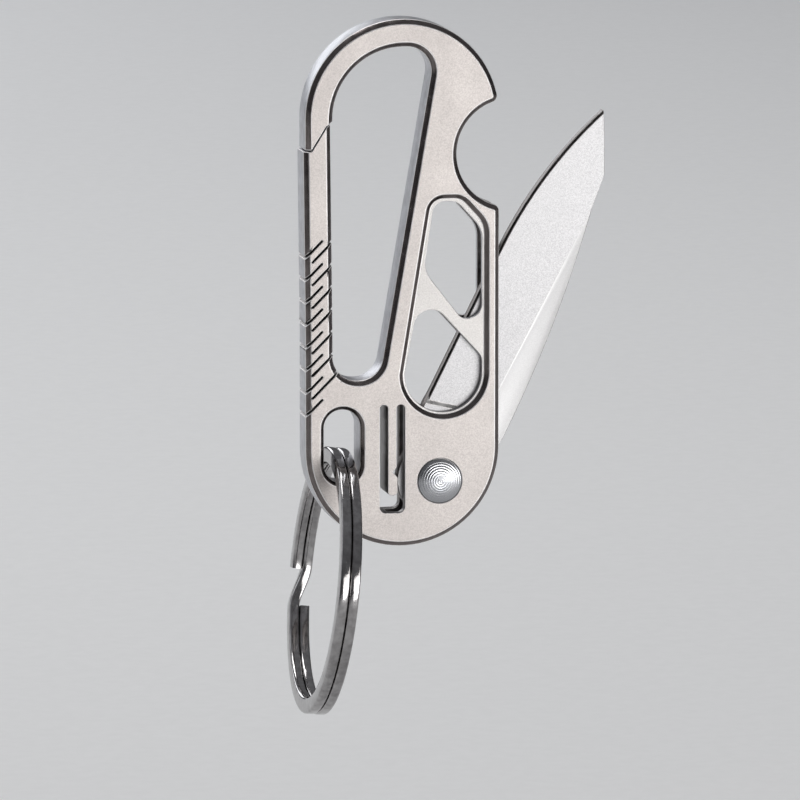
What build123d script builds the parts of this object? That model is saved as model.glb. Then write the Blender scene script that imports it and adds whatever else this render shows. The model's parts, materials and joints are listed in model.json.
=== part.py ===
from build123d import *
import math
import os

# Carabiner key tool: a one-piece titanium body with a spring gate, a bottle-opener
# hook and a slip-joint folding blade, carrying a split ring.
#
# Drawn lying flat: x to the right, y up the body, z out of the front face, with the
# origin on the blade's pivot axis at mid-thickness. to_row() stands it up and moves the
# origin to the crown of the carabiner opening, where the tool hangs.  Millimetres.

# ---- driving dimensions -------------------------------------------------------------
THICKNESS = 4.7                 # body, front face to back face
HALF_WIDTH = 11.75              # of the stadium outline
CENTRE_X = -4.45                # body centre line, left of the pivot
LOW_CENTRE_Y = 3.97             # centre of the round lower end
HIGH_CENTRE_Y = 43.7           # centre of the round upper end
EDGE_CHAMFER = 0.6              # round the outline and the big openings
LEFT_EDGE_X = CENTRE_X - HALF_WIDTH

NOTCH_CENTRE = (8.6, 39.15)      # bottle-opener notch
NOTCH_RADIUS = 6.45
HOOK_ROUND = 0.8

OPENING_LEFT_X = -12.9          # inner side of the gate arm
OPENING_LOW_Y = 12.3
OPENING_CROWN_Y = 52.15
STRUT_LOW = (-7.24, OPENING_LOW_Y)      # the strut's leaning left side
STRUT_HIGH = (-0.38, OPENING_CROWN_Y)
OPENING_ROUNDS = (3.0, 2.9, 3.0, 8.5)   # low left, low right, high right, high left

KEY_SLOT_CENTRE = (-11.8, 4.5)
KEY_SLOT_LENGTH = 8.8
KEY_SLOT_WIDTH = 4.4
KEY_SLOT_CHAMFER = 0.5

POCKET_DEPTH = 0.58             # shallow recess round the windows, both faces
POCKET_CENTRE = (0.55, 12.9)    # of its round lower end
POCKET_RADIUS = 5.5
LEDGE = 0.8                     # between the recess wall and a window

CHANNEL_WIDTH = 2.3             # milled slot that the blade folds into
CHANNEL_CLEARANCE = 0.28
TIP_SWEEP_RADIUS = 48.45        # just outside the path of the blade's tip
CHANNEL_LOW_X = -6.15           # left limit below the pivot, clears the open blade's heel

SLIT_LEFT_X = -7.3              # U-shaped slot that frees the detent tongue
SLIT_RIGHT_X = -4.25
SLIT_TOP_Y = 9.35
SLIT_LOW_Y = -3.7
SLIT_END_RADIUS = 0.48          # nearly a half circle at the top of each arm of the slot
SLIT_FOOT_RADIUS = 0.8
TONGUE_LEFT_X = -6.3
TONGUE_RIGHT_X = -5.25
TONGUE_END_Y = -1.6
NOSE_REACH = 0.12               # nose of the tongue, proud of its right side
TONGUE_NOTCH = (1.8, 0.6, 0.5)  # high y, low y, depth

SLIT_COUNT = 15                 # wire-cut slits that turn the arm into a spring
SLIT_PITCH = 1.36
SLIT_WIDTH = 0.25
TOP_SLIT_Y = 28.9               # height of the first slit on the arm's middle line
ARM_MIDDLE_X = -14.63
OUTER_SLIT_END_X = -14.2        # where slits cut from outside stop
INNER_SLIT_END_X = -15.5        # where slits cut from inside stop

SEAM_KNEE = (-15.55, 40.1)      # nose joint between gate and body: level, diagonal, level
SEAM_BROW = (-13.75, 42.95)
SEAM_INNER = (-12.2, 43.85)
SEAM_GAP = 0.16
GATE_LEAN = 0.28                # the free gate stands this far outside the nose
GATE_LEAN_FROM_Y = 18.0

TANG_THICKNESS = 2.0
BLADE_THICKNESS = 1.7
TANG_RADIUS = 4.85
CLOSED_TURN = 21.6              # degrees anticlockwise from the rest pose to closed
SPINE_CHAMFER = 0.28
EDGE_HALF_THICKNESS = 0.06

PIVOT_RADIUS = 1.6
PIVOT_BORE_RADIUS = 1.65        # running fit in the blade
HEAD_RADIUS = 2.62
HEAD_SEAT_RADIUS = 2.72
HEAD_SEAT_DEPTH = 0.4
DOME_HEIGHT = 0.55
SCREW_SEAT_DEPTH = 0.75
SCREW_HEAD_HEIGHT = 0.7
THREAD_RADIUS = 1.0
HEX_ACROSS_FLATS = 1.5
WASHER_RADIUS = 4.0
WASHER_THICKNESS = 0.12

RING_OUTER_RADIUS = 16.0
RING_INNER_RADIUS = 14.1
RING_WIRE_HEIGHT = 1.2          # of one turn, along the ring's axis
RING_TURN_GAP = 0.06
RING_LEAN = 6.4                 # degrees, lower end to the left
RING_TWIST = -1.2               # degrees about the upright, back of the ring to the right
RING_TOP_Y = 3.9                # outermost point, inside the key slot
CROSSOVER_SPAN = 20.0           # degrees where the wire steps from one turn to the next
CROSSOVER_AT = 103.0             # degrees round the ring from its top, towards the back
WIRE_END = 9.0                  # degrees from the middle of the step to each end of the wire

FAR = 80.0                      # comfortably past the object

ORIGIN_X = CENTRE_X             # the hang point, in the flat drawing
ORIGIN_Y = OPENING_CROWN_Y


def to_row(shape):
    """Stands a flat-drawn shape up and puts the hang point at the origin."""
    moved = Pos(-ORIGIN_X, -ORIGIN_Y, 0) * shape
    return Rot(90, 0, 0) * moved


def slab(face, half):
    """The flat face given thickness, evenly to both sides of the middle plane."""
    return extrude(face, amount=half, both=True)


def rounded(face, rounds):
    """The face with its corners rounded: pairs of (corner, radius)."""
    for corner, radius in rounds:
        nearest = face.vertices().sort_by_distance(Vector(corner[0], corner[1], 0))[0]
        face = fillet(nearest, radius)
    return face


def polygon(*points):
    return make_face(Polyline(*points, close=True))


def along(start, end, distance, across=0.0):
    """The point at a distance from start towards end, and off to the left of that line."""
    run = Vector(end[0] - start[0], end[1] - start[1], 0).normalized()
    side = Vector(-run.Y, run.X, 0)
    spot = Vector(start[0], start[1], 0) + run * distance + side * across
    return (spot.X, spot.Y)


# ---- the one-piece body -------------------------------------------------------------
def outline(lean):
    height = HIGH_CENTRE_Y - LOW_CENTRE_Y
    middle = (LOW_CENTRE_Y + HIGH_CENTRE_Y) / 2
    stadium = Pos(CENTRE_X, middle) * SlotCenterToCenter(height, 2 * HALF_WIDTH, rotation=90)
    if lean:
        foot = (LEFT_EDGE_X, GATE_LEAN_FROM_Y)
        stadium += polygon(foot, (CENTRE_X, foot[1]), (CENTRE_X, HIGH_CENTRE_Y), (LEFT_EDGE_X - lean, HIGH_CENTRE_Y))
    face = stadium - Pos(*NOTCH_CENTRE) * Circle(NOTCH_RADIUS)
    right = CENTRE_X + HALF_WIDTH
    reach = math.sqrt(NOTCH_RADIUS**2 - (NOTCH_CENTRE[0] - right) ** 2)
    corners = [(right, NOTCH_CENTRE[1] - reach), (right, NOTCH_CENTRE[1] + reach)]
    return rounded(face, [(corner, HOOK_ROUND) for corner in corners])


def carabiner_opening(lean):
    corners = [(OPENING_LEFT_X, OPENING_LOW_Y), STRUT_LOW, STRUT_HIGH, (OPENING_LEFT_X, OPENING_CROWN_Y)]
    face = rounded(polygon(*corners), zip(corners, OPENING_ROUNDS))
    if lean:
        foot = (OPENING_LEFT_X, GATE_LEAN_FROM_Y)
        face += polygon(foot, (OPENING_LEFT_X + 2, foot[1]), (OPENING_LEFT_X + 2, HIGH_CENTRE_Y),
                        (OPENING_LEFT_X - lean, HIGH_CENTRE_Y))
    return face


def key_slot():
    slot = SlotOverall(KEY_SLOT_LENGTH, KEY_SLOT_WIDTH, rotation=90)
    return Pos(*KEY_SLOT_CENTRE) * slot


def tapered_plug(face, depth, chamfer):
    """Cutter for a hole through the body with a 45 degree chamfer at both faces."""
    plug = slab(face, THICKNESS)
    for side in (1, -1):
        mouth = Pos(0, 0, side * (THICKNESS / 2 - depth)) * face
        flare = extrude(mouth, amount=side * (depth + chamfer), taper=-45)
        plug = plug + flare
    return plug


def pocket_outline():
    x, y = POCKET_CENTRE
    left_low = (x - POCKET_RADIUS, y)
    right_low = (x + POCKET_RADIUS, y)
    top_left = (-1.4, 34.45)
    top_right = (2.9, 34.45)
    shoulder = (x + POCKET_RADIUS, 31.0)
    sides = Polyline(left_low, top_left, top_right, shoulder, right_low)
    bottom = ThreePointArc(right_low, (x, y - POCKET_RADIUS), left_low)
    face = make_face(sides + bottom)
    return rounded(face, [(top_left, 2.3), (top_right, 2.5), (shoulder, 3.5)])


def upper_window():
    right = POCKET_CENTRE[0] + POCKET_RADIUS - LEDGE
    corners = [(-0.57, 33.5), (2.2, 33.5), (right, 30.1), (right, 19.4), (2.75, 19.4), (-1.8, 25.3)]
    rounds = (1.5, 1.95, 3.0, 1.7, 1.2, 3.0)
    return rounded(polygon(*corners), zip(corners, rounds))


def lower_window():
    x, y = POCKET_CENTRE
    radius = POCKET_RADIUS - LEDGE
    left_low = (x - radius, y)
    right_low = (x + radius, y)
    apex = (-2.25, 22.95)
    elbow = (x + radius, 14.75)
    sides = Polyline(left_low, apex, elbow, right_low)
    bottom = ThreePointArc(right_low, (x, y - radius), left_low)
    face = make_face(sides + bottom)
    return rounded(face, [(apex, 2.1), (elbow, 1.5)])


def pocket_cutter(side):
    """The shallow recess with its sloped wall, on the front (1) or the back (-1)."""
    floor = Pos(0, 0, side * (THICKNESS / 2 - POCKET_DEPTH)) * offset(pocket_outline(), -POCKET_DEPTH)
    return extrude(floor, amount=side * 2 * POCKET_DEPTH, taper=-45)


def channel():
    """Everything in the middle layer that the folding blade passes through."""
    spine = closed(spine_points())
    left = [(point[0] - CHANNEL_CLEARANCE, point[1]) for point in spine]
    foot = left[0][1]
    low = LOW_CENTRE_Y - HALF_WIDTH - 2
    border = left[::-1] + [(TONGUE_RIGHT_X, foot), (TONGUE_RIGHT_X, TONGUE_END_Y)]
    border += [(CHANNEL_LOW_X, TONGUE_END_Y - 1), (CHANNEL_LOW_X, low), (FAR, low), (FAR, FAR)]
    border += [(left[-1][0], FAR)]
    swept = polygon(*border) & Circle(TIP_SWEEP_RADIUS)
    return slab(swept, CHANNEL_WIDTH / 2)


def u_slot():
    width = SLIT_RIGHT_X - SLIT_LEFT_X
    height = SLIT_TOP_Y - SLIT_LOW_Y
    centre = ((SLIT_LEFT_X + SLIT_RIGHT_X) / 2, (SLIT_TOP_Y + SLIT_LOW_Y) / 2)
    slot = Pos(*centre) * Rectangle(width, height)
    root = Pos((TONGUE_LEFT_X + TONGUE_RIGHT_X) / 2, SLIT_TOP_Y) * Rectangle(TONGUE_RIGHT_X - TONGUE_LEFT_X, 4)
    ends = [SLIT_LEFT_X, TONGUE_LEFT_X, TONGUE_RIGHT_X, SLIT_RIGHT_X]
    tops = [((x, SLIT_TOP_Y), SLIT_END_RADIUS) for x in ends]
    feet = [((x, SLIT_LOW_Y), SLIT_FOOT_RADIUS) for x in (SLIT_LEFT_X, SLIT_RIGHT_X)]
    return rounded(slot - root, tops + feet)


def tongue_outline():
    notch_high, notch_low, notch_depth = TONGUE_NOTCH
    nose_x = TONGUE_RIGHT_X + NOSE_REACH
    root_y = SLIT_TOP_Y - 2.0
    points = [
        (TONGUE_LEFT_X, root_y),
        (TONGUE_LEFT_X, TONGUE_END_Y),
        (nose_x, TONGUE_END_Y),
        (nose_x, notch_low),
        (TONGUE_RIGHT_X - notch_depth, (notch_high + notch_low) / 2),
        (TONGUE_RIGHT_X, notch_high),
        (TONGUE_RIGHT_X, root_y),
    ]
    face = polygon(*points)
    return rounded(face, [(points[1], 0.45), (points[2], 0.5), (points[3], 0.2)])


def seam_line():
    """The gate's nose joint, from outside the arm to inside the opening."""
    return [(LEFT_EDGE_X - 2, SEAM_KNEE[1]), SEAM_KNEE, SEAM_BROW, SEAM_INNER]


def seam_band():
    """The thin gap under the nose joint."""
    upper = seam_line()
    lower = [(x + 0.35 * SEAM_GAP, y - SEAM_GAP) for x, y in upper]
    return polygon(*(upper + lower[::-1]))


def slanted_region(low_y, high_y):
    """The arm between two 45 degree cuts, which cross its middle at these levels."""
    left = LEFT_EDGE_X - 2
    right = OPENING_LEFT_X + 2.2
    drop = left - ARM_MIDDLE_X
    rise = right - ARM_MIDDLE_X
    return polygon((left, low_y + drop), (right, low_y + rise), (right, high_y + rise), (left, high_y + drop))


SPRING_LOW_Y = TOP_SLIT_Y - (SLIT_COUNT - 0.5) * SLIT_PITCH
SPRING_HIGH_Y = TOP_SLIT_Y + 0.5 * SLIT_PITCH


def spring_slits():
    """Slits at 45 degrees, by turns from the outer and the inner side of the arm."""
    slits = []
    for number in range(SLIT_COUNT):
        level = TOP_SLIT_Y - number * SLIT_PITCH
        from_outside = number % 2 == 0
        near = LEFT_EDGE_X - 1 if from_outside else INNER_SLIT_END_X
        far = OUTER_SLIT_END_X if from_outside else OPENING_LEFT_X + 2.4
        start = (near, level + near - ARM_MIDDLE_X)
        end = (far, level + far - ARM_MIDDLE_X)
        length = math.hypot(end[0] - start[0], end[1] - start[1])
        centre = ((start[0] + end[0]) / 2, (start[1] + end[1]) / 2)
        slits.append(Pos(*centre) * SlotOverall(length, SLIT_WIDTH, rotation=45))
    return slits


def chamfered_body(lean=0.0):
    """The body's plate with all its chamfers; lean sets the left arm's long sides outward."""
    body = slab(outline(lean), THICKNESS / 2)
    rims = body.faces().filter_by(Axis.Z).edges()
    body = chamfer(rims, EDGE_CHAMFER)
    body = body - tapered_plug(carabiner_opening(lean), EDGE_CHAMFER, 1.0)
    return body - tapered_plug(key_slot(), KEY_SLOT_CHAMFER, 1.0)


def gate_side_face():
    """The arm from just under the spring to the nose seam."""
    lowest = SPRING_LOW_Y - 4
    right = OPENING_LEFT_X + 2.2
    return polygon((LEFT_EDGE_X - 2, lowest), (right, lowest), (right, SEAM_INNER[1]), *seam_line()[::-1])


def make_gate_arm(blank):
    above_spring = slanted_region(SPRING_HIGH_Y, FAR)
    region = gate_side_face() & above_spring
    return (blank & slab(region, THICKNESS)) - slab(seam_band(), THICKNESS)


def make_gate_spring(blank):
    strip = blank & slab(slanted_region(SPRING_LOW_Y, SPRING_HIGH_Y), THICKNESS)
    for slit in spring_slits():
        strip = strip - slab(slit, THICKNESS)
    return strip


def make_frame(blank):
    body = blank - slab(gate_side_face() & slanted_region(SPRING_LOW_Y, FAR), THICKNESS)
    for side in (1, -1):
        body = body - pocket_cutter(side)
    body = body - slab(upper_window(), THICKNESS)
    body = body - slab(lower_window(), THICKNESS)
    body = body - channel()
    body = body - slab(u_slot(), THICKNESS)
    body = body - Cylinder(PIVOT_RADIUS + 0.02, 2 * THICKNESS)
    front_seat = Pos(0, 0, THICKNESS / 2 - HEAD_SEAT_DEPTH / 2 + 1) * Cylinder(HEAD_SEAT_RADIUS, HEAD_SEAT_DEPTH + 2)
    back_seat = Pos(0, 0, -THICKNESS / 2 + SCREW_SEAT_DEPTH / 2 - 1) * Cylinder(HEAD_SEAT_RADIUS, SCREW_SEAT_DEPTH + 2)
    return body - front_seat - back_seat


def make_detent_tongue():
    """Leaf spring that is left standing inside the U-shaped slot; its nose rides the tang."""
    return slab(tongue_outline(), THICKNESS / 2)


# ---- blade --------------------------------------------------------------------------
SPINE_FOOT = (-1.4, 9.45)
SPINE_BEND = (7.71, 27.65)
BLADE_TIP = (20.3, 43.8)
FRONT_CORNER = (20.4, 36.1)
EDGE_TOP = (18.83, 31.9)        # where the flat grind runs out
EDGE_MIDDLE = (14.4, 18.39)
EDGE_FOOT = (8.34, 4.76)
HEEL = (7.6, 3.42)
GRIND_FOOT = (7.6, 10.76)        # second point of the grind line, which starts at EDGE_TOP
GRIND_LENGTH = 31.1
SPINE_SAGITTA = 0.98
STEP_LEFT = (-1.4, 9.2)       # where the thinner blade leaves the full-thickness tang
STEP_RIGHT = (3.2, 8.07)
STEP_SLOPE = 0.45


def turned(point, degrees):
    angle = math.radians(degrees)
    x, y = point
    return (x * math.cos(angle) - y * math.sin(angle), x * math.sin(angle) + y * math.cos(angle))


def closed(points):
    return [turned(point, CLOSED_TURN) for point in points]


def spine_arc_middle():
    span = math.dist(SPINE_BEND, BLADE_TIP)
    return along(SPINE_BEND, BLADE_TIP, span / 2, SPINE_SAGITTA)


def spine_points():
    """Points along the spine from the tang to the tip, close enough to follow its curve."""
    arc = ThreePointArc(SPINE_BEND, spine_arc_middle(), BLADE_TIP)
    steps = 6
    curve = [arc @ (number / steps) for number in range(steps + 1)]
    return [SPINE_FOOT] + [(point.X, point.Y) for point in curve]


def blade_outline():
    disc_start = turned((TANG_RADIUS, 0), -CLOSED_TURN)
    disc_middle = turned((TANG_RADIUS, 0), -CLOSED_TURN - 90)
    disc_end = turned((-TANG_RADIUS, 0), -CLOSED_TURN)
    edge = ThreePointArc(EDGE_TOP, EDGE_MIDDLE, EDGE_FOOT)
    front = Polyline(BLADE_TIP, FRONT_CORNER, EDGE_TOP)
    heel = Polyline(EDGE_FOOT, HEEL, disc_start)
    disc = ThreePointArc(disc_start, disc_middle, disc_end)
    back = Polyline(disc_end, SPINE_FOOT, SPINE_BEND)
    spine = ThreePointArc(SPINE_BEND, spine_arc_middle(), BLADE_TIP)
    face = make_face(edge + front + heel + disc + back + spine)
    return rounded(face, [(FRONT_CORNER, 1.2)])


def groove_cutter(start, end, profile, side):
    """A prism along start-end. Its profile is (distance to the left of the line, height)."""
    run = Vector(end[0] - start[0], end[1] - start[1], 0).normalized()
    left = Vector(-run.Y, run.X, 0)
    plane = Plane(origin=(start[0], start[1], 0), x_dir=left, z_dir=run)
    up = plane.y_dir.Z
    points = [(across, side * up * height) for across, height in profile]
    face = plane * make_face(Polyline(*points, close=True))
    length = math.dist(start, end)
    return extrude(face, amount=length, dir=(run.X, run.Y, 0))


def make_blade():
    solid = slab(blade_outline(), TANG_THICKNESS / 2)
    tang = TANG_THICKNESS / 2
    flat = BLADE_THICKNESS / 2
    step_start = along(STEP_LEFT, STEP_RIGHT, -30)
    step_end = along(STEP_LEFT, STEP_RIGHT, 60)
    step = [(0, tang), (STEP_SLOPE, flat), (FAR, flat), (FAR, 3), (0, 3)]
    grind_start = along(EDGE_TOP, GRIND_FOOT, -6)
    grind_end = along(EDGE_TOP, GRIND_FOOT, GRIND_LENGTH)
    run = Vector(GRIND_FOOT[0] - EDGE_TOP[0], GRIND_FOOT[1] - EDGE_TOP[1], 0).normalized()
    foot = Vector(EDGE_FOOT[0] - EDGE_TOP[0], EDGE_FOOT[1] - EDGE_TOP[1], 0)
    width = (Vector(-run.Y, run.X, 0)).dot(foot)
    fall = (flat - EDGE_HALF_THICKNESS) / width
    reach = width + 0.15
    grind = [(0, flat), (reach, flat - fall * reach), (reach + 4, flat - fall * reach), (reach + 4, 3), (0, 3)]
    for side in (1, -1):
        solid = solid - groove_cutter(step_start, step_end, step, side)
    spine = [edge for edge in solid.edges() if is_on_spine(edge)]
    solid = chamfer(spine, SPINE_CHAMFER)
    for side in (1, -1):
        solid = solid - groove_cutter(grind_start, grind_end, grind, side)
    return solid - Cylinder(PIVOT_BORE_RADIUS, 2 * THICKNESS)


def is_on_spine(edge):
    """True for the long rims of the spine, on the thin part of the blade."""
    middle = edge @ 0.5
    low = edge @ 0
    high = edge @ 1
    on_rim = abs(abs(middle.Z) - BLADE_THICKNESS / 2) < 0.01 and abs(low.Z - high.Z) < 0.01
    run = Vector(SPINE_BEND[0] - SPINE_FOOT[0], SPINE_BEND[1] - SPINE_FOOT[1], 0).normalized()
    off_line = run.cross(middle - Vector(SPINE_FOOT[0], SPINE_FOOT[1], middle.Z)).Z
    straight = abs(off_line) < 0.05 and middle.Y > SPINE_FOOT[1]
    arc_middle = spine_arc_middle()
    curved = math.dist((middle.X, middle.Y), arc_middle) < 0.5
    return on_rim and (straight or curved)


# ---- pivot --------------------------------------------------------------------------
def make_pivot_barrel():
    """Domed, turned head on the front, shaft through the blade, threaded inside."""
    head_base = THICKNESS / 2 - HEAD_SEAT_DEPTH
    head_height = HEAD_SEAT_DEPTH + 0.1
    shaft_end = -THICKNESS / 2 + SCREW_SEAT_DEPTH + 0.05
    rim = head_base + head_height
    sphere_radius = (HEAD_RADIUS**2 + DOME_HEIGHT**2) / (2 * DOME_HEIGHT)
    head = Pos(0, 0, head_base + head_height / 2) * Cylinder(HEAD_RADIUS, head_height)
    dome = Pos(0, 0, rim + DOME_HEIGHT - sphere_radius) * Sphere(sphere_radius)
    cap = dome & Pos(0, 0, rim + 1) * Cylinder(HEAD_RADIUS, 2)
    length = head_base - shaft_end
    shaft = Pos(0, 0, shaft_end + length / 2) * Cylinder(PIVOT_RADIUS, length)
    depth = 2.6
    bore = Pos(0, 0, shaft_end + depth / 2 - 0.01) * Cylinder(THREAD_RADIUS, depth + 0.02)
    return head + cap + shaft - bore


def make_pivot_screw():
    """Flat-headed screw with a hexagon socket, from the back into the barrel."""
    face_z = -THICKNESS / 2 + SCREW_SEAT_DEPTH
    head = Pos(0, 0, face_z - SCREW_HEAD_HEIGHT / 2) * Cylinder(HEAD_RADIUS, SCREW_HEAD_HEIGHT)
    head = chamfer(head.edges().group_by(Axis.Z)[0], 0.15)
    stem = Pos(0, 0, face_z + 1.1) * Cylinder(THREAD_RADIUS - 0.02, 2.2)
    socket = RegularPolygon(HEX_ACROSS_FLATS / 2, 6, major_radius=False)
    recess = extrude(Pos(0, 0, face_z - SCREW_HEAD_HEIGHT - 0.1) * socket, amount=0.65)
    return head + stem - recess


def make_washer(side):
    level = side * (CHANNEL_WIDTH / 2 - WASHER_THICKNESS / 2 - 0.005)
    disc = Cylinder(WASHER_RADIUS, WASHER_THICKNESS) - Cylinder(PIVOT_RADIUS + 0.03, 1)
    return Pos(0, 0, level) * disc


# ---- split ring ---------------------------------------------------------------------
def wire_section(angle, level):
    """The wire's cross-section, standing on the ring at an angle and an axial level."""
    radial = Vector(math.cos(math.radians(angle)), math.sin(math.radians(angle)), 0)
    middle = (RING_OUTER_RADIUS + RING_INNER_RADIUS) / 2
    centre = radial * middle + Vector(0, 0, level)
    plane = Plane(origin=centre, x_dir=radial, z_dir=Vector(0, 0, 1).cross(radial))
    width = RING_OUTER_RADIUS - RING_INNER_RADIUS
    return plane * RectangleRounded(width, RING_WIRE_HEIGHT, 0.25)


def turn_of_wire(first, last, level):
    """One flat turn of the wire between two angles."""
    section = wire_section(first, level)
    return revolve(section, Axis.Z, revolution_arc=last - first)


def make_split_ring():
    """Two flat turns of one wire, joined where it steps across from one to the other."""
    half = CROSSOVER_SPAN / 2
    level = (RING_WIRE_HEIGHT + RING_TURN_GAP) / 2
    first_turn = turn_of_wire(WIRE_END, 360 - half, -level)
    second_turn = turn_of_wire(half, 360 - WIRE_END, level)
    stations = 7
    sections = []
    for number in range(stations):
        share = number / (stations - 1)
        smooth = share * share * (3 - 2 * share)
        sections.append(wire_section(-half + CROSSOVER_SPAN * share, level * (2 * smooth - 1)))
    crossover = loft(sections)
    ring = first_turn + crossover + second_turn
    return hang_ring(ring)


def hang_ring(ring):
    """Stands the ring across the body, through the key slot, leaning a little."""
    turned_ring = Rot(0, 0, 90 + CROSSOVER_AT) * ring
    return RING_PLACE * Rot(0, -90, 0) * turned_ring


RING_PLACE = (
    Pos(KEY_SLOT_CENTRE[0], RING_TOP_Y, 0)
    * Rot(0, RING_TWIST, 0)
    * Rot(0, 0, -RING_LEAN)
    * Pos(0, -RING_OUTER_RADIUS, 0)
)


def main():
    blank = chamfered_body()
    gate_blank = chamfered_body(GATE_LEAN)
    parts = {
        "frame": make_frame(blank),
        "gate_arm": make_gate_arm(gate_blank),
        "gate_spring": make_gate_spring(gate_blank),
        "detent_tongue": make_detent_tongue(),
        "blade": make_blade(),
        "pivot_barrel": make_pivot_barrel(),
        "pivot_screw": make_pivot_screw(),
        "front_washer": make_washer(1),
        "back_washer": make_washer(-1),
        "split_ring": make_split_ring(),
    }
    os.makedirs("parts", exist_ok=True)
    for node, shape in parts.items():
        export_step(to_row(shape), f"parts/{node}.step")


main()
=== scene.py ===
import json
import math
import bmesh
import bpy
from mathutils import Matrix, Vector
from mathutils.bvhtree import BVHTree


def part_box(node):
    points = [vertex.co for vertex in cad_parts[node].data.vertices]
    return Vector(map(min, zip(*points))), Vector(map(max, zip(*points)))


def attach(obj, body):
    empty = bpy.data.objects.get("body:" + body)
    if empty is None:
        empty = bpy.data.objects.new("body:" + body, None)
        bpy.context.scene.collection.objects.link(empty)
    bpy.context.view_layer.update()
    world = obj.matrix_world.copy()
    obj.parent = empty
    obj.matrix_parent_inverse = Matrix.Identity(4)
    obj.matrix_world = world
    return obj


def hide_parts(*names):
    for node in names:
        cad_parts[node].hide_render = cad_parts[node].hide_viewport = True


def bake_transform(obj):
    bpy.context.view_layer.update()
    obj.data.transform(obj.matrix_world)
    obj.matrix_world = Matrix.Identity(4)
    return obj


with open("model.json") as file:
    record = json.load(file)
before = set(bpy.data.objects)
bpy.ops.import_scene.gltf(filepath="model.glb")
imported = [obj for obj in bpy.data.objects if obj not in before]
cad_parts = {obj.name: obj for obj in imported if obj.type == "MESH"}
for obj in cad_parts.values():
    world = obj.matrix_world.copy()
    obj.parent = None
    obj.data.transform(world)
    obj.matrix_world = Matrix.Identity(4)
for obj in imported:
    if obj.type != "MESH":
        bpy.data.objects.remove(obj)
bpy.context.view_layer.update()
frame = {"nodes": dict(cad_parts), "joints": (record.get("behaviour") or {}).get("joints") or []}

MM = 0.001

# ---- places read from the frame -----------------------------------------------------
JOINTS = {joint["name"]: joint for joint in frame["joints"]}
PIVOT = Vector(JOINTS["blade_fold"]["pos_m"])
FACE_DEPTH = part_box("frame")[1].y         # the broad faces, front and back alike
BARREL_LOW, BARREL_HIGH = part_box("pivot_barrel")
HEAD_RADIUS = (BARREL_HIGH.x - BARREL_LOW.x) / 2

# ---- finishing sizes ----------------------------------------------------------------
BODY_EDGE = 0.08 * MM                     # width of the tumbled edges of the titanium parts
BLADE_EDGE = 0.05 * MM
SCREW_EDGE = 0.04 * MM
WASHER_EDGE = 0.02 * MM
SHARP_BODY = 25                           # degrees between faces that get a worn edge
SHARP_BLADE = 16
TOUCH = 0.02 * MM                         # faces closer than this are one cut through one part
CLOSE = 0.06 * MM                         # corners closer than this can't hold a worn edge
TINY = 0.004 * MM                         # points closer than this are one point
FLAT = 0.6                                # degrees, faces closer than this are one face
SPRING_CUTS = 30                          # stretches that the gate's spring bends in
TONGUE_CUTS = 24                          # stretches that the detent tongue bends in

# ---- turned pivot -------------------------------------------------------------------
BARREL_RADIUS = 1.6 * MM
THREAD_RADIUS = 1.0 * MM
DOME_HEIGHT = 0.55 * MM
HEAD_DEPTH = 0.4 * MM                     # of the head, sunk in the body's face
TURNING_PITCH = 0.29 * MM                 # feed of the lathe tool
TURNING_RIPPLE = 0.011 * MM               # half the height of a groove
TURNING_FADE = 0.5 * MM                   # the grooves fade this far from the rim
LATHE_STEP = 0.036 * MM                   # between two points of the dome's profile
LATHE_TURNS = 112                         # facets round the axis
SHARP_TURNED = 30                         # degrees, a corner sharper than this stays crisp

# ---- split ring ---------------------------------------------------------------------
RING_MIDDLE_RADIUS = 15.045 * MM
RING_WIRE_WIDTH = 1.9 * MM                # across the turns, outside to inside
RING_WIRE_HEIGHT = 1.2 * MM               # along the ring's axis
RING_TURN_GAP = 0.06 * MM
RING_CORNER = 0.3 * MM                    # radius of the wire's four corners
RING_CORNER_FACETS = 4
RING_STEP_AT = 103                        # degrees from the top towards the back
RING_STEP_SPAN = 20                       # degrees the wire takes to change turns
RING_WIRE_END = 9                         # degrees from the step to each end of the wire
RING_END_ROUND = 0.35 * MM                # length that each end of the wire is rounded over
RING_END_SIZE = 0.72                      # of the wire's section, at its very end
RING_POINTS = 1500                        # along the wire
RING_WELD = 0.001 * MM


# ---- node trees for materials -------------------------------------------------------
NOISE_LOW = 0.3                           # most of a noise's values lie between these two
NOISE_HIGH = 0.7


def new_material(name, colour, metallic, roughness):
    """A material with its plain shader, and the tree to add a surface to."""
    made = bpy.data.materials.new(name)
    made.use_nodes = True
    shader = made.node_tree.nodes["Principled BSDF"]
    shader.inputs["Base Color"].default_value = (*colour, 1)
    shader.inputs["Metallic"].default_value = metallic
    shader.inputs["Roughness"].default_value = roughness
    return made, made.node_tree, shader


def surface_place(tree, stretch=(1, 1, 1), centre=(0, 0, 0)):
    """Object coordinates, moved to a centre and stretched along the axes."""
    coordinates = tree.nodes.new("ShaderNodeTexCoord")
    mapping = tree.nodes.new("ShaderNodeMapping")
    mapping.inputs["Scale"].default_value = stretch
    mapping.inputs["Location"].default_value = [-c * s for c, s in zip(centre, stretch)]
    tree.links.new(coordinates.outputs["Object"], mapping.inputs["Vector"])
    return mapping.outputs["Vector"]


def grain(tree, place, size, detail=2.0, fading=0.5):
    """Noise whose grains are about this size in metres."""
    noise = tree.nodes.new("ShaderNodeTexNoise")
    noise.inputs["Scale"].default_value = 1 / size
    noise.inputs["Detail"].default_value = detail
    noise.inputs["Roughness"].default_value = fading
    tree.links.new(place, noise.inputs["Vector"])
    return noise.outputs["Fac"]


def mixed(tree, first, second, share):
    """The first value, with this share of the second in it."""
    mix = tree.nodes.new("ShaderNodeMix")
    mix.inputs["Factor"].default_value = share
    tree.links.new(first, mix.inputs["A"])
    tree.links.new(second, mix.inputs["B"])
    return mix.outputs["Result"]


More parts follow.
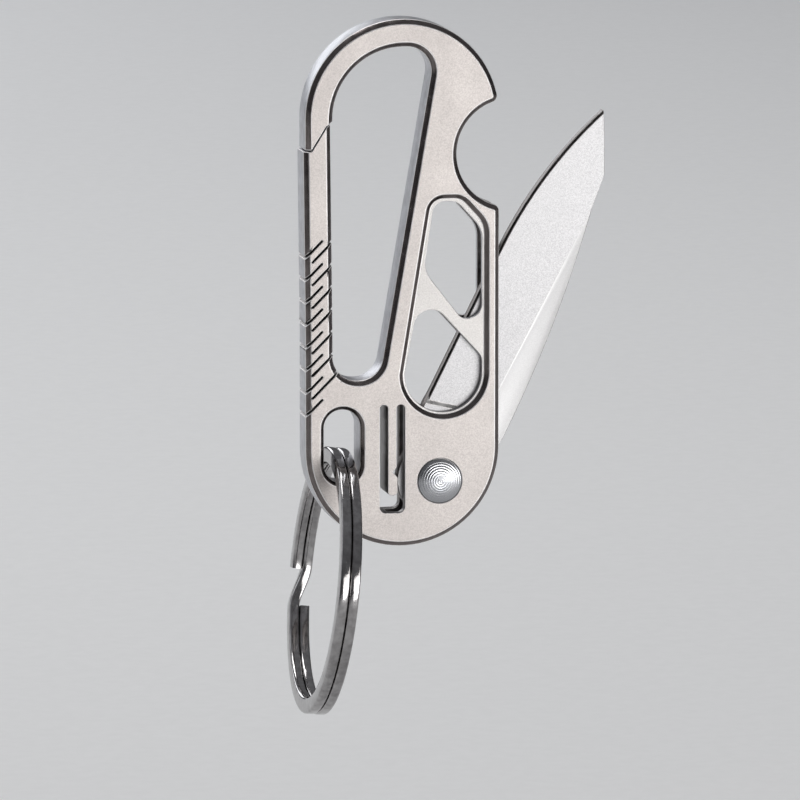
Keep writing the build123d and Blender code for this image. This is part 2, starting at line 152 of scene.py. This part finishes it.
def roughness_between(tree, shader, value, low, high):
    """Roughness that runs from low to high with the value."""
    ranged = tree.nodes.new("ShaderNodeMapRange")
    ranged.inputs["From Min"].default_value = NOISE_LOW
    ranged.inputs["From Max"].default_value = NOISE_HIGH
    ranged.inputs["To Min"].default_value = low
    ranged.inputs["To Max"].default_value = high
    tree.links.new(value, ranged.inputs["Value"])
    tree.links.new(ranged.outputs["Result"], shader.inputs["Roughness"])


def colours_between(tree, shader, value, dark, light, start=NOISE_LOW, end=NOISE_HIGH):
    """Base colour that runs from dark to light with the value."""
    ramp = tree.nodes.new("ShaderNodeValToRGB")
    ramp.color_ramp.elements[0].position = start
    ramp.color_ramp.elements[0].color = (*dark, 1)
    ramp.color_ramp.elements[1].position = end
    ramp.color_ramp.elements[1].color = (*light, 1)
    tree.links.new(value, ramp.inputs["Fac"])
    tree.links.new(ramp.outputs["Color"], shader.inputs["Base Color"])


def relief(tree, shader, value, height, strength=1.0, under=None):
    """Bump of this height in metres, on top of another bump if there is one."""
    bump = tree.nodes.new("ShaderNodeBump")
    bump.inputs["Strength"].default_value = strength
    bump.inputs["Distance"].default_value = height
    tree.links.new(value, bump.inputs["Height"])
    if under is not None:
        tree.links.new(under, bump.inputs["Normal"])
    tree.links.new(bump.outputs["Normal"], shader.inputs["Normal"])
    return bump.outputs["Normal"]


def blasted_titanium(name, dark, light, roughness):
    """Bead-blasted titanium: matt, warm grey, with a fine sparkle and a few darker specks."""
    made, tree, shader = new_material(name, light, 1.0, roughness)
    place = surface_place(tree)
    fine = grain(tree, place, 0.16 * MM, detail=3.0, fading=0.65)
    broad = grain(tree, place, 4.0 * MM, detail=2.0)
    both = mixed(tree, fine, broad, 0.25)
    colours_between(tree, shader, both, dark, light, 0.36, 0.62)
    roughness_between(tree, shader, broad, roughness - 0.03, roughness + 0.04)
    dents = grain(tree, place, 0.11 * MM, detail=1.0)
    relief(tree, shader, dents, 0.012 * MM, 0.55)
    return made


def milled_metal(name, dark, light, roughness, line_height, line_pitch=0.07 * MM):
    """Cut metal with feed lines that run round the part, across its thickness."""
    made, tree, shader = new_material(name, light, 1.0, roughness)
    lines_place = surface_place(tree, stretch=(0.03, 1, 0.03))
    lines = grain(tree, lines_place, line_pitch, detail=2.0, fading=0.6)
    clouds = grain(tree, surface_place(tree), 1.1 * MM, detail=3.0)
    both = mixed(tree, lines, clouds, 0.4)
    colours_between(tree, shader, both, dark, light, 0.38, 0.62)
    roughness_between(tree, shader, clouds, roughness - 0.04, roughness + 0.06)
    relief(tree, shader, lines, line_height, 0.6)
    return made


def ground_steel(name, dark, light, roughness, grain_size, height):
    """Stonewashed blade steel: pale, fine and even."""
    made, tree, shader = new_material(name, light, 1.0, roughness)
    place = surface_place(tree)
    fine = grain(tree, place, grain_size, detail=4.0, fading=0.7)
    soft = grain(tree, place, 2.6 * MM, detail=2.0)
    both = mixed(tree, fine, soft, 0.12)
    colours_between(tree, shader, both, dark, light, 0.4, 0.6)
    roughness_between(tree, shader, soft, roughness - 0.01, roughness + 0.01)
    relief(tree, shader, fine, height, 0.45)
    return made


def turned_steel():
    """The pivot's lathe-turned, polished steel with faint rings round its axis."""
    made, tree, shader = new_material("turned_steel", (0.66, 0.67, 0.7), 1.0, 0.2)
    place = surface_place(tree, centre=PIVOT)
    rings = tree.nodes.new("ShaderNodeTexWave")
    rings.wave_type = "RINGS"
    rings.rings_direction = "Y"
    rings.inputs["Scale"].default_value = 2.3 / MM
    rings.inputs["Distortion"].default_value = 0.6
    rings.inputs["Detail"].default_value = 1.0
    tree.links.new(place, rings.inputs["Vector"])
    waves = rings.outputs["Fac"]
    colours_between(tree, shader, waves, (0.32, 0.325, 0.34), (0.53, 0.535, 0.555), 0.1, 0.9)
    clouds = grain(tree, place, 0.9 * MM, detail=2.0)
    roughness_between(tree, shader, clouds, 0.2, 0.28)
    relief(tree, shader, waves, 0.002 * MM, 0.4)
    return made


def washer_bronze():
    """Phosphor bronze strip with fine rolling lines."""
    made, tree, shader = new_material("washer_bronze", (0.62, 0.38, 0.18), 1.0, 0.35)
    lines = grain(tree, surface_place(tree, stretch=(1, 1, 0.05)), 0.05 * MM)
    colours_between(tree, shader, lines, (0.42, 0.24, 0.11), (0.68, 0.43, 0.21))
    relief(tree, shader, lines, 0.002 * MM, 0.5)
    return made


def dark_nickel():
    """Black-nickel plating over drawn wire: glossy, a little wavy, with fine pits."""
    made, tree, shader = new_material("dark_nickel", (0.32, 0.31, 0.31), 1.0, 0.12)
    place = surface_place(tree)
    waves = grain(tree, place, 0.8 * MM, detail=2.0)
    pits = grain(tree, place, 0.22 * MM, detail=2.0, fading=0.6)
    colours_between(tree, shader, waves, (0.28, 0.27, 0.27), (0.42, 0.41, 0.41))
    roughness_between(tree, shader, pits, 0.06, 0.14)
    swell = relief(tree, shader, waves, 0.02 * MM, 0.35)
    relief(tree, shader, pits, 0.003 * MM, 0.3, under=swell)
    return made


def pale_floor():
    """A plain matt studio floor."""
    made, tree, shader = new_material("studio_floor", (0.78, 0.78, 0.77), 0.0, 0.85)
    cloth = grain(tree, surface_place(tree), 2.0 * MM)
    colours_between(tree, shader, cloth, (0.84, 0.84, 0.835), (0.86, 0.86, 0.855))
    return made


# ---- pieces finished from the CAD shapes --------------------------------------------
STRAIGHT_ON = 0.9995                      # how far a face looks forward or back, 1 is wholly
FACE_TO_FACE = -0.99                      # product of the normals of two touching faces


def finished_copy(
    node, materials, kind_of_face, edge_width, sharp_from, joined_to=(), stations=(), merge=TINY
):
    """A copy of a CAD node with merged faces, a finish on each kind of face and worn edges.

    The last material is the edges' own. Where the node is one part with another that it
    is joined to, the cut between them keeps no edge. Stations are heights where the faces
    are cut across, so that the piece can bend. Points closer than merge become one."""
    form = bmesh.new()
    form.from_mesh(frame["nodes"][node].data)
    bmesh.ops.remove_doubles(form, verts=form.verts, dist=merge)
    bmesh.ops.dissolve_degenerate(form, edges=form.edges, dist=TINY)
    bmesh.ops.dissolve_limit(form, verts=form.verts, edges=form.edges, angle_limit=math.radians(FLAT))
    for height in stations:
        whole = form.verts[:] + form.edges[:] + form.faces[:]
        bmesh.ops.bisect_plane(form, geom=whole, plane_co=(0, 0, height), plane_no=(0, 0, 1), dist=TINY)
    form.normal_update()
    for face in form.faces:
        face.smooth = True
        face.material_index = kind_of_face(face)
    mark_worn_edges(form, sharp_from, cut_faces(form, joined_to))
    mesh = bpy.data.meshes.new(f"{node}_finished")
    for material in materials:
        mesh.materials.append(material)
    form.to_mesh(mesh)
    form.free()
    piece = bpy.data.objects.new(f"{node}_finished", mesh)
    bpy.context.scene.collection.objects.link(piece)
    worn = piece.modifiers.new("worn_edges", "BEVEL")
    worn.limit_method = "WEIGHT"
    worn.width = edge_width
    worn.segments = 2
    worn.use_clamp_overlap = False
    worn.miter_outer = "MITER_ARC"
    worn.harden_normals = True
    # On the titanium parts this edge material is pale, a painted highlight along the worn edges.
    worn.material = len(materials) - 1
    keep_shape(piece)
    keep_flats_flat(piece.data)
    return piece


def cut_faces(form, joined_to):
    """Faces that lie against the same cut in a node that is one part with this one."""
    found = set()
    for neighbour in joined_to:
        other = bmesh.new()
        other.from_mesh(frame["nodes"][neighbour].data)
        search = BVHTree.FromBMesh(other)
        for face in form.faces:
            spot, normal = search.find_nearest(face.calc_center_median(), TOUCH)[:2]
            if spot is not None and normal.dot(face.normal) < FACE_TO_FACE:
                found.add(face)
        other.free()
    return found


def mark_worn_edges(form, sharp_from, cuts):
    """Gives every real corner a worn edge, and keeps a plain corner round each cut.

    A slight corner between two kinds of face, like a grind's, stays a plain crease."""
    weight = form.edges.layers.float.new("bevel_weight_edge")
    for edge in form.edges:
        kinds = {face.material_index for face in edge.link_faces}
        if edge.calc_face_angle(0) < math.radians(sharp_from):
            edge.smooth = len(kinds) == 1
        elif cuts.intersection(edge.link_faces):
            edge.smooth = False
        else:
            edge[weight] = 1.0


def keep_flats_flat(mesh):
    """Shades the faces that look straight forward or back as the flat faces they are."""
    normals = [corner.vector.copy() for corner in mesh.corner_normals]
    for polygon in mesh.polygons:
        if abs(polygon.normal.y) > STRAIGHT_ON:
            for corner in polygon.loop_indices:
                normals[corner] = polygon.normal.copy()
    mesh.normals_split_custom_set(normals)


def keep_shape(piece):
    """Turns what the modifiers make into the piece's own plain mesh."""
    seen = piece.evaluated_get(bpy.context.evaluated_depsgraph_get())
    shaped = bpy.data.meshes.new_from_object(seen)
    piece.modifiers.clear()
    piece.data = shaped


def hand_over(piece, node, body):
    """The piece stands for its CAD node and moves with its body."""
    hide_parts(node)
    if body is not None:
        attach(piece, body)


# ---- kinds of face, in the order of each part's materials ---------------------------
FACE, CHAMFER, WALL, LEDGE, MILLED_SHADED, EDGE = range(6)
BROAD_FACING = 0.97                       # a broad face looks forward or back this far
CHAMFER_FACING = 0.5
SKIN_DEPTH = 0.1 * MM                     # the broad faces lie within this of the surface
LEDGE_DEPTH = 0.8 * MM                    # and the milled ledges within this
SLOT_BESIDE = 1.1 * MM                    # reach of the slot round the detent tongue
SLOT_BELOW = 2.2 * MM
SLANT = 0.3                               # a slit's wall looks both sideways and up this far

FLAT_SIDE, GRIND, SPINE, SPINE_CHAMFER, STEP, BLADE_RIM = range(6)
GRIND_FACING = 0.9
SPINE_CHAMFER_FACING = 0.4
STEP_REACH = 14 * MM                      # the step to the thicker tang lies this near the pivot
STEP_RIGHT = 4.5 * MM                     # and no further to the right of it than this


def titanium_kind(face):
    """Which finish a titanium face has, by where it looks and how deep it lies. The deep faces get the
    milled finish, painted dark as shade.
    """
    facing = abs(face.normal.y)
    depth = abs(face.calc_center_median().y)
    if facing > BROAD_FACING:
        if depth > FACE_DEPTH - SKIN_DEPTH:
            return FACE
        return LEDGE if depth > FACE_DEPTH - LEDGE_DEPTH else MILLED_SHADED
    if facing > CHAMFER_FACING:
        return CHAMFER
    return WALL


def body_kind(face):
    """Like titanium_kind, and the walls round the detent tongue are rough, and painted dark as shade in the
    slot.
    """
    kind = titanium_kind(face)
    low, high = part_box("detent_tongue")
    middle = face.calc_center_median()
    beside = low.x - SLOT_BESIDE < middle.x < high.x + SLOT_BESIDE
    level = low.z - SLOT_BELOW < middle.z < high.z + SLOT_BELOW
    return MILLED_SHADED if kind == WALL and beside and level else kind


def spring_kind(face):
    """Like titanium_kind, and the walls of the wire-cut slits are rough, and painted dark as shade in the
    slits.
    """
    kind = titanium_kind(face)
    slanted = abs(face.normal.x) > SLANT and abs(face.normal.z) > SLANT
    return MILLED_SHADED if kind == WALL and slanted else kind


def blade_kind(face):
    """Which finish a face of the blade has, by where it looks and where it lies."""
    facing = abs(face.normal.y)
    middle = face.calc_center_median()
    if facing > STRAIGHT_ON:
        return FLAT_SIDE
    if facing > GRIND_FACING:
        near = math.hypot(middle.x - PIVOT.x, middle.z - PIVOT.z) < STEP_REACH
        on_left = middle.x - PIVOT.x < STEP_RIGHT
        return STEP if near and on_left else GRIND
    if facing > SPINE_CHAMFER_FACING:
        return SPINE_CHAMFER
    return SPINE if face.normal.x < 0 else FLAT_SIDE


def only_kind(_face):
    """The small parts have one finish all over."""
    return 0


# ---- pivot --------------------------------------------------------------------------
def head_height(radius, rim_y):
    """How far the turned dome stands at a radius, with the ripple the tool left."""
    sphere = (HEAD_RADIUS ** 2 + DOME_HEIGHT ** 2) / (2 * DOME_HEIGHT)
    cap = math.sqrt(sphere ** 2 - radius ** 2) - (sphere - DOME_HEIGHT)
    fade = min(1.0, (HEAD_RADIUS - radius) / TURNING_FADE)
    groove = TURNING_RIPPLE * (1 - math.cos(2 * math.pi * radius / TURNING_PITCH)) * fade
    return rim_y - cap + groove


def make_pivot_barrel(material):
    """The domed head and its barrel, turned about the pivot axis in one profile."""
    front = BARREL_LOW.y
    rim_y = front + DOME_HEIGHT
    shoulder_y = -FACE_DEPTH + HEAD_DEPTH
    back = BARREL_HIGH.y
    bore_y = bore_end()
    profile = []
    steps = int(HEAD_RADIUS / LATHE_STEP)
    for number in range(steps + 1):
        radius = HEAD_RADIUS * number / steps
        profile.append((radius, max(front, head_height(radius, rim_y))))
    profile.append((HEAD_RADIUS, shoulder_y))
    profile.append((BARREL_RADIUS, shoulder_y))
    profile.append((BARREL_RADIUS, back))
    profile.append((THREAD_RADIUS, back))
    profile.append((THREAD_RADIUS, bore_y))
    profile.append((0.0, bore_y))
    mesh = bpy.data.meshes.new("pivot_barrel_turned")
    form = bmesh.new()
    points = [form.verts.new((radius, y, 0)) for radius, y in profile]
    edges = [form.edges.new(pair) for pair in zip(points, points[1:])]
    bmesh.ops.spin(
        form, geom=points + edges, cent=(0, 0, 0), axis=(0, 1, 0), dvec=(0, 0, 0),
        angle=2 * math.pi, steps=LATHE_TURNS, use_merge=True,
    )
    bmesh.ops.remove_doubles(form, verts=form.verts, dist=TINY)
    bmesh.ops.recalc_face_normals(form, faces=form.faces)
    for face in form.faces:
        face.smooth = True
    for edge in form.edges:
        edge.smooth = edge.calc_face_angle(0) < math.radians(SHARP_TURNED)
    form.transform(Matrix.Translation((PIVOT.x, 0, PIVOT.z)))
    form.to_mesh(mesh)
    form.free()
    mesh.materials.append(material)
    piece = bpy.data.objects.new("pivot_barrel_turned", mesh)
    bpy.context.scene.collection.objects.link(piece)
    return piece


def bore_end():
    """How deep the barrel's threaded bore goes: to the front end of the screw."""
    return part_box("pivot_screw")[0].y


# ---- split ring ---------------------------------------------------------------------
class Tree:
    """A geometry tree with named inputs, built node by node."""

    def __init__(self, name):
        self.group = bpy.data.node_groups.new(name, "GeometryNodeTree")
        self.group.interface.new_socket("Geometry", in_out="OUTPUT", socket_type="NodeSocketGeometry")
        self.identifiers = {}
        self.group_input = self.group.nodes.new("NodeGroupInput")

    def size(self, name, kind="NodeSocketFloat"):
        """A named input of the tree."""
        socket = self.group.interface.new_socket(name, in_out="INPUT", socket_type=kind)
        self.identifiers[name] = socket.identifier
        return self.group_input.outputs[name]

    def node(self, kind, inputs=None, **settings):
        """A node, its settings, and its inputs: each a number or another node's output."""
        made = self.group.nodes.new(kind)
        for setting, value in settings.items():
            setattr(made, setting, value)
        for key, value in (inputs or {}).items():
            if isinstance(value, bpy.types.NodeSocket):
                self.group.links.new(value, made.inputs[key])
            else:
                made.inputs[key].default_value = value
        return made

    def calc(self, operation, first, second=0.0, third=0.0):
        """The result of one operation on numbers or outputs."""
        made = self.node("ShaderNodeMath", operation=operation)
        for index, value in enumerate((first, second, third)):
            if isinstance(value, bpy.types.NodeSocket):
                self.group.links.new(value, made.inputs[index])
            else:
                made.inputs[index].default_value = value
        return made.outputs[0]

    def finish(self, geometry, material):
        """The tree's output: the geometry, smooth and in its material."""
        real = self.node("GeometryNodeRealizeInstances", {"Geometry": geometry})
        smooth = self.node("GeometryNodeSetShadeSmooth", {"Geometry": real.outputs["Geometry"]})
        surfaced = self.node("GeometryNodeSetMaterial", {"Geometry": smooth.outputs["Geometry"]})
        self.group.links.new(material, surfaced.inputs["Material"])
        out = self.group.nodes.new("NodeGroupOutput")
        self.group.links.new(surfaced.outputs["Geometry"], out.inputs["Geometry"])


def split_ring_tree():
    """Wire wound in two turns, with a short step from one turn to the next."""
    tree = Tree("split_ring_winding")
    radius = tree.size("Middle Radius")
    rise = tree.size("Turn Offset")
    first = tree.size("First Angle")
    last = tree.size("Last Angle")
    step_span = tree.size("Step Span")
    width = tree.size("Wire Width")
    height = tree.size("Wire Height")
    corner = tree.size("Wire Corner")
    end_round = tree.size("End Round")
    points = tree.size("Points", "NodeSocketInt")
    material = tree.size("Material", "NodeSocketMaterial")

    line = tree.node("GeometryNodeMeshLine", {"Count": points})
    path = tree.node("GeometryNodeMeshToCurve", {"Mesh": line.outputs["Mesh"]})
    index = tree.node("GeometryNodeInputIndex").outputs["Index"]
    share = tree.calc("DIVIDE", index, tree.calc("SUBTRACT", points, 1.0))
    angle = tree.calc("ADD", first, tree.calc("MULTIPLY", share, tree.calc("SUBTRACT", last, first)))
    past_step = tree.calc("SUBTRACT", angle, 2 * math.pi)
    in_step = tree.node(
        "ShaderNodeMapRange",
        {
            "Value": past_step,
            "From Min": tree.calc("MULTIPLY", step_span, -0.5),
            "From Max": tree.calc("MULTIPLY", step_span, 0.5),
            "To Min": tree.calc("MULTIPLY", rise, -1.0),
            "To Max": rise,
        },
        interpolation_type="SMOOTHSTEP",
    )
    place = tree.node(
        "ShaderNodeCombineXYZ",
        {
            "X": tree.calc("MULTIPLY", radius, tree.calc("COSINE", angle)),
            "Y": tree.calc("MULTIPLY", radius, tree.calc("SINE", angle)),
            "Z": in_step.outputs["Result"],
        },
    )
    wound = tree.node(
        "GeometryNodeSetPosition",
        {"Geometry": path.outputs["Curve"], "Position": place.outputs["Vector"]},
    )
    upright = tree.node("GeometryNodeSetCurveNormal", {"Curve": wound.outputs["Geometry"]}, mode="Z_UP")
    from_start = tree.calc("MULTIPLY", tree.calc("SUBTRACT", angle, first), radius)
    from_end = tree.calc("MULTIPLY", tree.calc("SUBTRACT", last, angle), radius)
    nearest = tree.calc("MINIMUM", from_start, from_end)
    inward = tree.calc("SUBTRACT", 1.0, tree.calc("MINIMUM", tree.calc("DIVIDE", nearest, end_round), 1.0))
    swell = tree.calc("SQRT", tree.calc("SUBTRACT", 1.0, tree.calc("MULTIPLY", inward, inward)))
    taper = tree.calc("ADD", RING_END_SIZE, tree.calc("MULTIPLY", swell, 1 - RING_END_SIZE))
    rounded = tree.node(
        "GeometryNodeSetCurveRadius",
        {"Curve": upright.outputs["Curve"], "Radius": taper},
    )
    section = tree.node("GeometryNodeCurvePrimitiveQuadrilateral", {"Width": width, "Height": height})
    cornered = tree.node(
        "GeometryNodeFilletCurve",
        {"Curve": section.outputs["Curve"], "Radius": corner, "Count": RING_CORNER_FACETS},
        mode="POLY",
    )
    wire = tree.node(
        "GeometryNodeCurveToMesh",
        {"Curve": rounded.outputs["Curve"], "Profile Curve": cornered.outputs["Curve"], "Fill Caps": True},
    )
    tree.finish(wire.outputs["Mesh"], material)
    return tree


def make_split_ring(material):
    """The wound ring as one plain mesh, hung in its place."""
    tree = split_ring_tree()
    holder = bpy.data.objects.new("split_ring_wound", bpy.data.meshes.new("split_ring_wound"))
    bpy.context.scene.collection.objects.link(holder)
    winding = holder.modifiers.new("winding", "NODES")
    winding.node_group = tree.group
    sizes = {
        "Middle Radius": RING_MIDDLE_RADIUS,
        "Turn Offset": (RING_WIRE_HEIGHT + RING_TURN_GAP) / 2,
        "First Angle": math.radians(RING_WIRE_END),
        "Last Angle": math.radians(720 - RING_WIRE_END),
        "Step Span": math.radians(RING_STEP_SPAN),
        "Wire Width": RING_WIRE_WIDTH,
        "Wire Height": RING_WIRE_HEIGHT,
        "Wire Corner": RING_CORNER,
        "End Round": RING_END_ROUND,
        "Points": RING_POINTS,
        "Material": material,
    }
    for name, value in sizes.items():
        winding[tree.identifiers[name]] = value
    keep_shape(holder)
    form = bmesh.new()
    form.from_mesh(holder.data)
    bmesh.ops.remove_doubles(form, verts=form.verts, dist=RING_WELD)
    form.transform(ring_place())
    bmesh.ops.recalc_face_normals(form, faces=form.faces)
    form.to_mesh(holder.data)
    form.free()
    return holder


def ring_place():
    """From the flat winding, whose step is on its first axis, to the hanging ring."""
    axis = -Vector(JOINTS["ring_swing"]["axis"]).normalized()
    up = (Vector((0, 0, 1)) - axis * axis.z).normalized()
    back = axis.cross(up)
    if back.y < 0:
        back = -back
    low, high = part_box("split_ring")
    centre = (low + high) / 2
    step_way = up * math.cos(math.radians(RING_STEP_AT)) + back * math.sin(math.radians(RING_STEP_AT))
    onward = axis.cross(step_way)
    turned = Matrix((step_way, onward, axis)).transposed().to_4x4()
    return Matrix.Translation(centre) @ turned


# ---- studio -------------------------------------------------------------------------
CAMERA_YAW = 12.0                         # degrees that the camera stands to the left
CAMERA_PITCH = 9.0                        # degrees that it stands above
CAMERA_DISTANCE = 1.2
CAMERA_LENS = 453                         # focal length in millimetres
CAMERA_TARGET = Vector((0.0001, 0.0, -0.04262))

LAMP_TARGET = Vector((0, 0, -0.03))
NEUTRAL = (1, 1, 1)
LAMPS = (                                 # name, place, width, height, power and colour
    ("key", (0.5, -1.0, 0.07), 1.0, 0.24, 2.3, (1.0, 0.985, 0.97)),
    ("top", (-0.15, 0.3, 0.85), 0.7, 0.3, 4.0, NEUTRAL),
    ("card", (0.16, -0.3, -0.065), 0.3, 0.08, 0.42, NEUTRAL),
    ("side", (-0.9, 0.45, 0.25), 0.5, 0.8, 1.2, (0.93, 0.96, 1.0)),
    ("back", (-0.35, 1.1, 0.3), 0.9, 0.4, 2.6, (0.95, 0.97, 1.0)),
)
SKY_LEVEL = (0.30, 0.30, 0.32)            # colour of the surroundings at the level of the object
SKY_HIGH = (0.75, 0.76, 0.8)              # and overhead
SKY_HIGH_FROM = 0.9
SKY_STRENGTH = 0.32
FLOOR_REACH = 3.0


def set_camera():
    """A long lens, far away, that looks at the middle of the object."""
    data = bpy.data.cameras.new("camera")
    camera = bpy.data.objects.new("camera", data)
    bpy.context.scene.collection.objects.link(camera)
    yaw = math.radians(CAMERA_YAW)
    pitch = math.radians(CAMERA_PITCH)
    back = Vector((-math.sin(yaw) * math.cos(pitch), -math.cos(yaw) * math.cos(pitch), math.sin(pitch)))
    camera.location = CAMERA_TARGET + back * CAMERA_DISTANCE
    camera.rotation_mode = "QUATERNION"
    camera.rotation_quaternion = (-back).to_track_quat("-Z", "Y")
    data.lens = CAMERA_LENS
    data.clip_start = 0.01
    data.clip_end = 20
    bpy.context.scene.camera = camera


def softbox(name, place, width, height, power, colour):
    """A rectangular lamp that looks at the middle of the object."""
    data = bpy.data.lights.new(name, "AREA")
    data.shape = "RECTANGLE"
    data.size = width
    data.size_y = height
    data.energy = power
    data.color = colour
    lamp = bpy.data.objects.new(name, data)
    bpy.context.scene.collection.objects.link(lamp)
    lamp.location = place
    lamp.visible_camera = False
    lamp.rotation_mode = "QUATERNION"
    lamp.rotation_quaternion = (LAMP_TARGET - lamp.location).to_track_quat("-Z", "Y")


def set_studio():
    """Even, soft surroundings that brighten upwards, and the lamps."""
    scene = bpy.context.scene
    scene.view_settings.view_transform = "Standard"
    world = bpy.data.worlds.new("studio")
    scene.world = world
    world.use_nodes = True
    tree = world.node_tree
    background = tree.nodes["Background"]
    coordinates = tree.nodes.new("ShaderNodeTexCoord")
    parts = tree.nodes.new("ShaderNodeSeparateXYZ")
    ramp = tree.nodes.new("ShaderNodeValToRGB")
    ramp.color_ramp.elements[0].position = 0.0
    ramp.color_ramp.elements[0].color = (*SKY_LEVEL, 1)
    ramp.color_ramp.elements[1].position = SKY_HIGH_FROM
    ramp.color_ramp.elements[1].color = (*SKY_HIGH, 1)
    tree.links.new(coordinates.outputs["Generated"], parts.inputs["Vector"])
    tree.links.new(parts.outputs["Z"], ramp.inputs["Fac"])
    tree.links.new(ramp.outputs["Color"], background.inputs["Color"])
    background.inputs["Strength"].default_value = SKY_STRENGTH
    for lamp in LAMPS:
        softbox(*lamp)


def lay_floor():
    """A floor just under the tip of the fully opened blade."""
    far_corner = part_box("blade")[1]
    z = PIVOT.z - math.hypot(far_corner.x - PIVOT.x, far_corner.z - PIVOT.z)
    mesh = bpy.data.meshes.new("floor")
    ways = ((-1, -1), (1, -1), (1, 1), (-1, 1))
    corners = [(x * FLOOR_REACH, y * FLOOR_REACH, z) for x, y in ways]
    mesh.from_pydata(corners, [], [(0, 1, 2, 3)])
    floor = bpy.data.objects.new("floor", mesh)
    bpy.context.scene.collection.objects.link(floor)
    mesh.materials.append(pale_floor())


# ---- everything together ------------------------------------------------------------
# Each finish: name, dark and light colour, roughness. Milled metal adds the height of its
# feed lines, and ground steel the size and height of its grain.
def titanium_set():
    """Finishes of the titanium parts, in the order of their kinds of face. The chamfers' and insides' dark
    colours are painted reflection and shade, and the edges' pale colour is a painted highlight.
    """
    return [
        blasted_titanium("blasted_titanium", (0.37, 0.345, 0.33), (0.51, 0.475, 0.458), 0.48),
        # Chamfers: the dark colour is a painted reflection of dark surroundings in the polished titanium,
        # not the metal's own tone.
        milled_metal("polished_chamfer_painted_dark", (0.12, 0.105, 0.1), (0.22, 0.195, 0.19), 0.22, 0.002 * MM),
        milled_metal("satin_wall", (0.45, 0.45, 0.47), (0.66, 0.665, 0.69), 0.42, 0.004 * MM),
        blasted_titanium("milled_ledge", (0.32, 0.31, 0.3), (0.44, 0.425, 0.415), 0.42),
        # Milled insides: rough cut metal, and the dark colour is painted shade in the channel, the slits
        # and the tongue's slot.
        milled_metal("milled_inside_painted_shade", (0.14, 0.13, 0.125), (0.28, 0.265, 0.26), 0.4, 0.004 * MM),
        # Worn edges: real rubbed metal, and the pale colour is a painted highlight that draws bright lines
        # along every edge.
        milled_metal("rubbed_edge_highlight", (0.74, 0.72, 0.71), (0.86, 0.84, 0.83), 0.55, 0.001 * MM),
    ]


def blade_set():
    """Finishes of the blade, in the order of its kinds of face. The spine's and its chamfer's near-black
    colours are painted shade.
    """
    return [
        ground_steel("blade_flat", (0.35, 0.345, 0.35), (0.51, 0.505, 0.51), 0.46, 0.11 * MM, 0.01 * MM),
        ground_steel("blade_grind", (0.54, 0.535, 0.535), (0.62, 0.615, 0.615), 0.46, 0.1 * MM, 0.002 * MM),
        # Spine and its chamfer: the near-black colour of the steel here is painted shade, for faces turned
        # away from the key lamp.
        milled_metal("blade_spine_painted_dark", (0.055, 0.045, 0.04), (0.16, 0.135, 0.125), 0.34, 0.006 * MM),
        milled_metal("spine_chamfer_painted_dark", (0.05, 0.045, 0.042), (0.11, 0.1, 0.095), 0.24, 0.002 * MM),
        milled_metal("tang_step", (0.34, 0.335, 0.33), (0.5, 0.495, 0.49), 0.3, 0.002 * MM),
        milled_metal("blade_rim", (0.28, 0.27, 0.265), (0.42, 0.41, 0.405), 0.3, 0.001 * MM),
    ]


def heights_across(low, high, cuts):
    """Evenly spaced heights where a piece is cut across, so that it can bend."""
    return [low.z + (high.z - low.z) * n / cuts for n in range(1, cuts)]


def build():
    """Makes every piece, and says which node, body and finish it stands for."""
    titanium = titanium_set()
    blade_steel = blade_set()
    steel = turned_steel()
    bronze = washer_bronze()

    body = finished_copy(
        "frame", titanium, body_kind, BODY_EDGE, SHARP_BODY,
        joined_to=("gate_spring", "detent_tongue"), merge=CLOSE,
    )
    hand_over(body, "frame", "body")

    arm = finished_copy("gate_arm", titanium, titanium_kind, BODY_EDGE, SHARP_BODY, ("gate_spring",))
    hand_over(arm, "gate_arm", "gate")

    spring_low, spring_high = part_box("gate_spring")
    rows = heights_across(spring_low, spring_high, SPRING_CUTS)
    spring = finished_copy(
        "gate_spring", titanium, spring_kind, BODY_EDGE, SHARP_BODY, ("frame", "gate_arm"), rows
    )
    hand_over(spring, "gate_spring", None)
    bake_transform(spring)

    tongue_low, tongue_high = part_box("detent_tongue")
    rows = heights_across(tongue_low, tongue_high, TONGUE_CUTS)
    tongue = finished_copy(
        "detent_tongue", titanium, body_kind, BODY_EDGE, SHARP_BODY, ("frame",), rows
    )
    hand_over(tongue, "detent_tongue", None)
    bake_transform(tongue)

    blade = finished_copy("blade", blade_steel, blade_kind, BLADE_EDGE, SHARP_BLADE)
    hand_over(blade, "blade", "knife")

    barrel = make_pivot_barrel(steel)
    hand_over(barrel, "pivot_barrel", "body")
    screw = finished_copy("pivot_screw", [steel], only_kind, SCREW_EDGE, SHARP_BODY)
    hand_over(screw, "pivot_screw", "body")
    for node in ("front_washer", "back_washer"):
        washer = finished_copy(node, [bronze], only_kind, WASHER_EDGE, SHARP_BODY)
        hand_over(washer, node, "body")

    ring = make_split_ring(dark_nickel())
    hand_over(ring, "split_ring", "ring")


build()
set_camera()
set_studio()
lay_floor()
